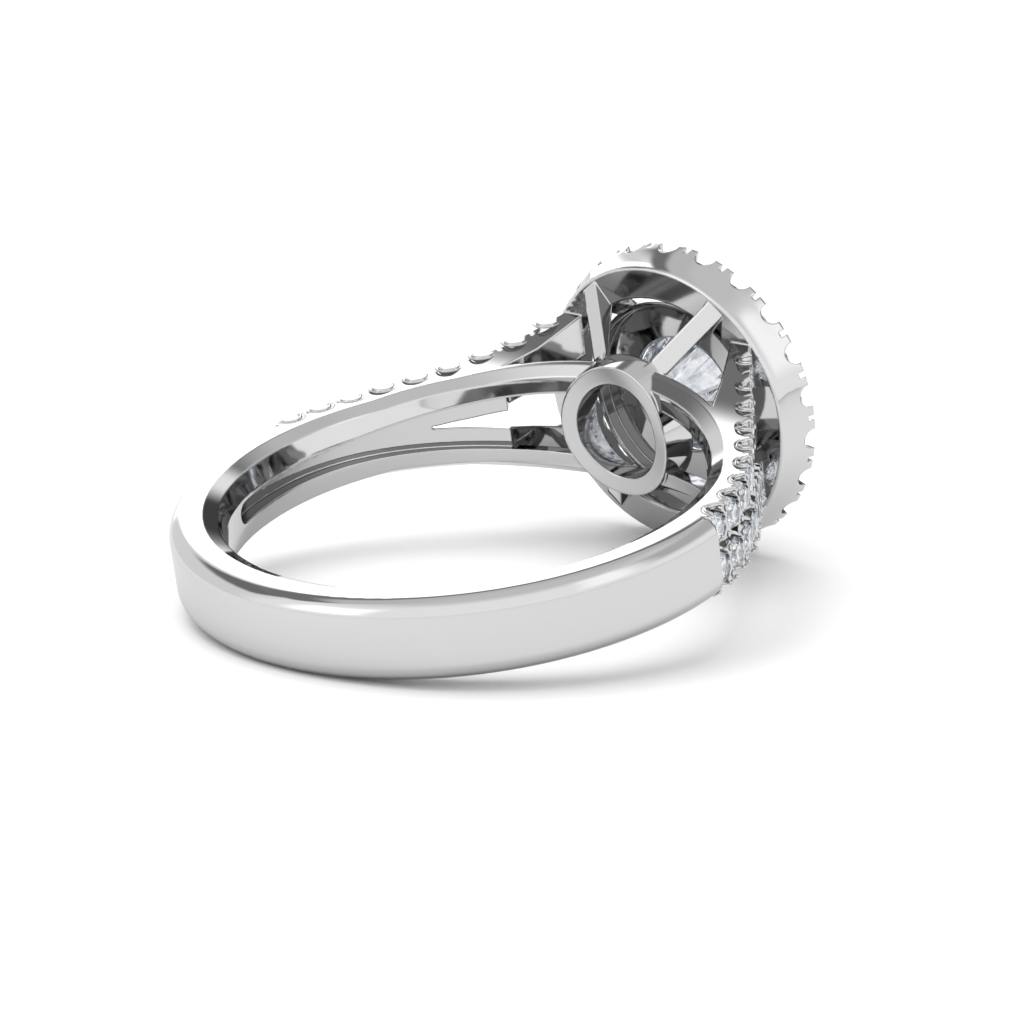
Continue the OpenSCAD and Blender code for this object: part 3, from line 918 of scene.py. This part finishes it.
@dataclass(frozen=True)
class ShoulderClaws:
    """The shoulders' claws: nested hooks round each U cut, and round tips between the stones."""

    sizes: RingSizes = field(default_factory=RingSizes)
    hooks: tuple[tuple[float, float], ...] = ((0.39, 0.07), (0.54, 0.042))
    hook_sink: float = 0.022
    tip_r: float = 0.1
    tip_shape: tuple[float, float, float] = (0.8, 0.8, 1.25)
    tip_offset: float = 0.48
    ring_steps: int = 24
    tube_steps: int = 8
    end_rings: int = 5
    tip_steps: int = 10
    tip_rings: int = 7
    smooth_angle: float = math.radians(50)

    def hook(self, reach: float, thickness: float) -> bpy.types.Object:
        """Bends half a ring of wire and rounds its two ends.

        Args:
            reach: Radius of the bend in millimetres.
            thickness: Radius of the wire.

        Returns:
            One hook in millimetres that opens towards +X.
        """
        deselect_all()
        bpy.ops.mesh.primitive_torus_add(
            major_segments=self.ring_steps, minor_segments=self.tube_steps,
            major_radius=reach, minor_radius=thickness)
        wire = bpy.context.object
        bpy.ops.object.mode_set(mode="EDIT")
        bpy.ops.mesh.select_all(action="SELECT")
        bpy.ops.mesh.bisect(plane_co=(0, 0, 0), plane_no=(1, 0, 0), use_fill=True, clear_outer=True)
        for side in (1, -1):
            bpy.ops.mesh.primitive_uv_sphere_add(
                segments=self.tube_steps, ring_count=self.end_rings, radius=thickness,
                location=(0, side * reach, 0))
        bpy.ops.object.mode_set(mode="OBJECT")
        return wire

    def tip(self) -> bpy.types.Object:
        """Rounds one claw tip, low and a little long across the face.

        Returns:
            The tip in millimetres, its top towards +X.
        """
        deselect_all()
        bpy.ops.mesh.primitive_uv_sphere_add(
            segments=self.tip_steps, ring_count=self.tip_rings, radius=self.tip_r)
        bead = bpy.context.object
        bpy.ops.object.mode_set(mode="EDIT")
        bpy.ops.mesh.select_all(action="SELECT")
        bpy.ops.transform.resize(value=self.tip_shape)
        bpy.ops.object.mode_set(mode="OBJECT")
        return bead

    def repeat(self, pattern: bpy.types.Object, places: list[Matrix]) -> list[bpy.types.Object]:
        """Copies a finished shape to its places and removes the pattern.

        Args:
            pattern: The shape, in millimetres round the origin.
            places: Where each copy goes, in the ring's frame.

        Returns:
            The copies, each with its own mesh, in the part's frame.
        """
        to_part = self.sizes.ring_to_part()
        made = []
        for place in places:
            mesh = pattern.data.copy()
            mesh.transform(to_part @ place)
            copy = bpy.data.objects.new(pattern.name, mesh)
            bpy.context.scene.collection.objects.link(copy)
            made.append(copy)
        bpy.data.objects.remove(pattern)
        return made

    def places(self, i: float, inset: float) -> list[Matrix]:
        """Places on the four arms at one stone or gap.

        Args:
            i: The stone's number; a half lies between two stones.
            inset: Distance from the shoulder's side towards its middle.

        Returns:
            The place on each arm, +X along the face's normal.
        """
        x, y, angle = self.sizes.arm_spot(i)
        reach = self.sizes.flare_at(x) - inset
        turns = {side: Matrix.Rotation(side * angle, 4, "Z") for side in (1, -1)}
        return [Matrix.Translation((x, side * y, level * reach)) @ turns[side]
                for side in (1, -1) for level in (1, -1)]

    def build(self, finish: bpy.types.Material) -> bpy.types.Object:
        """Makes all claws as one piece.

        Args:
            finish: The metal that they wear.

        Returns:
            The finished piece.
        """
        count = self.sizes.arm_stones
        parts: list[bpy.types.Object] = []
        for reach, thickness in self.hooks:
            spots = [spot for i in range(count) for spot in self.places(i, self.hook_sink)]
            parts += self.repeat(self.hook(reach, thickness), spots)
        row = self.sizes.half_w / 2
        gaps = [gap for inset in (row + self.tip_offset, row - self.tip_offset)
                for i in range(1, count) for gap in self.places(i - 0.5, inset)]
        parts += self.repeat(self.tip(), gaps)
        deselect_all()
        for part in parts:
            part.select_set(True)
        bpy.context.view_layer.objects.active = parts[0]
        bpy.ops.object.join()
        piece = bpy.context.object
        piece.name = "shoulder_claws"
        bpy.ops.object.shade_smooth_by_angle(angle=self.smooth_angle)
        wear(piece, finish)
        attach(piece, BODY)
        return piece


@dataclass
class Stones:
    """Every cut stone of the ring, dressed where it lies."""

    finish: CutDiamond = field(default_factory=CutDiamond)

    def build(self) -> list[bpy.types.Object]:
        """Dresses the stones' CAD nodes.

        Returns:
            The dressed nodes.
        """
        material = self.finish.build()
        dressed = [node for name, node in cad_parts.items() if "stone" in name]
        for stone in dressed:
            wear(stone, material)
        return dressed


@dataclass(frozen=True)
class DomePanel:
    """A soft box or a flag on the studio's dome, by its place on the sky in degrees.

    Azimuth turns from +X towards +Y, and elevation rises from the floor.
    """

    azimuth: float
    elevation: float
    half_width: float
    half_height: float
    glow: float
    blur: float = 5.0

    def paint(self, desk: NodeDesk, below: object, azimuth: bpy.types.NodeSocket,
              elevation: bpy.types.NodeSocket) -> bpy.types.NodeSocket:
        """Lays the panel over the light so far.

        Args:
            desk: The world's node tree.
            below: The glow without this panel, a socket or a number.
            azimuth: Azimuth of the direction looked in, in radians.
            elevation: Its elevation.

        Returns:
            The glow with the panel.
        """
        turn, rise, wide, tall, soft = (math.radians(v) for v in (
            self.azimuth, self.elevation, self.half_width, self.half_height, self.blur))
        side = desk.math("COSINE", desk.math("SUBTRACT", azimuth, turn))
        across = desk.smooth(side, math.cos(wide + soft), math.cos(wide - soft), 0.0, 1.0)
        height = desk.math("ABSOLUTE", desk.math("SUBTRACT", elevation, rise))
        up = desk.smooth(height, tall - soft, tall + soft, 1.0, 0.0)
        blend = desk.add("ShaderNodeMix", data_type="FLOAT")
        desk.join(desk.math("MULTIPLY", across, up), blend.inputs[0])
        desk.feed(below, blend.inputs[2])
        blend.inputs[3].default_value = self.glow
        return blend.outputs[0]


@dataclass
class Studio:
    """White paper under a pale dome with soft boxes and flags, and one soft lamp for the shadow.

    Each panel is given by its azimuth, elevation, half width and half height in degrees, its glow
    and the blur of its edge. A later panel lies over an earlier one.
    """

    floor_size: float = 3.0
    lamp_place: tuple[float, float, float] = (-0.05, 0.1, 0.4)
    lamp_size: float = 0.45
    lamp_power: float = 1.5
    paper: StudioPaper = field(default_factory=StudioPaper)
    low_glow: float = 0.98
    high_glow: float = 0.66
    fade_from: float = 45.0
    fade_to: float = 75.0
    deep_share: float = 0.3
    panels: tuple[DomePanel, ...] = (
        DomePanel(-30.0, 42.0, 38.0, 17.0, 0.52, 9.0),
        DomePanel(-90.0, 36.0, 9.0, 22.0, 1.2, 6.0),
        DomePanel(10.0, 16.0, 27.0, 20.0, 0.06, 4.0),
        DomePanel(95.0, 15.0, 34.0, 26.0, 0.8, 8.0),
        DomePanel(60.0, 64.0, 72.0, 11.0, 0.6, 5.0),
        DomePanel(99.0, 40.0, 24.0, 9.0, 0.18, 4.0),
        DomePanel(52.0, 22.0, 13.0, 23.0, 1.7, 3.0),
        DomePanel(74.0, 51.5, 56.0, 6.0, 0.2, 3.0),
        DomePanel(162.0, 26.0, 14.0, 16.0, 1.45, 6.0),
    )

    def floor(self) -> bpy.types.Object:
        """Lays the paper.

        Returns:
            The floor.
        """
        deselect_all()
        bpy.ops.mesh.primitive_plane_add(size=self.floor_size, location=(0, 0, 0))
        sheet = bpy.context.object
        sheet.name = "studio_floor"
        wear(sheet, self.paper.build())
        return sheet

    def lamp(self) -> None:
        """Hangs a square soft box that lights the paper and isn't seen in the metal."""
        lamp = bpy.data.lights.new("top_box", "AREA")
        lamp.shape = "SQUARE"
        lamp.size = self.lamp_size
        lamp.energy = self.lamp_power
        box = bpy.data.objects.new("top_box", lamp)
        box.location = self.lamp_place
        box.rotation_mode = "QUATERNION"
        box.rotation_quaternion = (-Vector(self.lamp_place)).to_track_quat("-Z", "Y")
        box.visible_glossy = False
        box.visible_transmission = False
        bpy.context.scene.collection.objects.link(box)

    def dome(self) -> None:
        """Sets the light that comes from all round."""
        world = bpy.data.worlds.new("studio_dome")
        bpy.context.scene.world = world
        world.use_nodes = True
        desk = NodeDesk(world.node_tree)
        place = desk.add("ShaderNodeTexCoord")
        split = desk.add("ShaderNodeSeparateXYZ")
        desk.join(place.outputs["Generated"], split.inputs["Vector"])
        azimuth = desk.math("ARCTAN2", split.outputs["Y"], split.outputs["X"])
        elevation = desk.math("ARCSINE", split.outputs["Z"])
        glow = desk.smooth(elevation, math.radians(self.fade_from), math.radians(self.fade_to),
                           self.low_glow, self.high_glow)
        for panel in self.panels:
            glow = panel.paint(desk, glow, azimuth, elevation)
        glow = desk.deepened(glow, self.deep_share)
        light = world.node_tree.nodes["Background"]
        light.inputs["Color"].default_value = (1.0, 1.0, 1.0, 1.0)
        desk.join(glow, light.inputs["Strength"])

    def build(self) -> None:
        """Sets up the whole studio."""
        self.floor()
        self.dome()
        self.lamp()
        view = bpy.context.scene.view_settings
        view.view_transform = "Standard"
        view.look = "None"
        view.exposure = 0.0


@dataclass(frozen=True)
class PhotoCamera:
    """The camera at the photograph's viewing angle."""

    lens: float = 140.625
    sensor: float = 36.0
    nearest: float = 0.005
    farthest: float = 10.0
    place: tuple[float, float, float] = (-0.102912, -0.088993, 0.038287)
    turn: tuple[float, float, float, float] = (0.719648, 0.555585, -0.257688, -0.327153)

    def build(self) -> bpy.types.Object:
        """Sets up the camera and makes it the scene's own.

        Returns:
            The camera.
        """
        data = bpy.data.cameras.new("photo_camera")
        data.lens = self.lens
        data.sensor_width = self.sensor
        data.clip_start = self.nearest
        data.clip_end = self.farthest
        camera = bpy.data.objects.new("photo_camera", data)
        camera.location = self.place
        camera.rotation_mode = "QUATERNION"
        camera.rotation_quaternion = self.turn
        bpy.context.scene.collection.objects.link(camera)
        bpy.context.scene.camera = camera
        return camera


def main() -> None:
    """Builds the scene piece by piece."""
    logging.basicConfig(level=logging.INFO)
    PhotoCamera().build()
    mount = DressedMount().build()
    log.info("%s has %d faces", mount.name, len(mount.data.polygons))
    claws = ShoulderClaws().build(mount.data.materials[0])
    log.info("%s has %d faces", claws.name, len(claws.data.polygons))
    log.info("%d stone nodes dressed", len(Stones().build()))
    Studio().build()


if __name__ == "__main__":
    main()
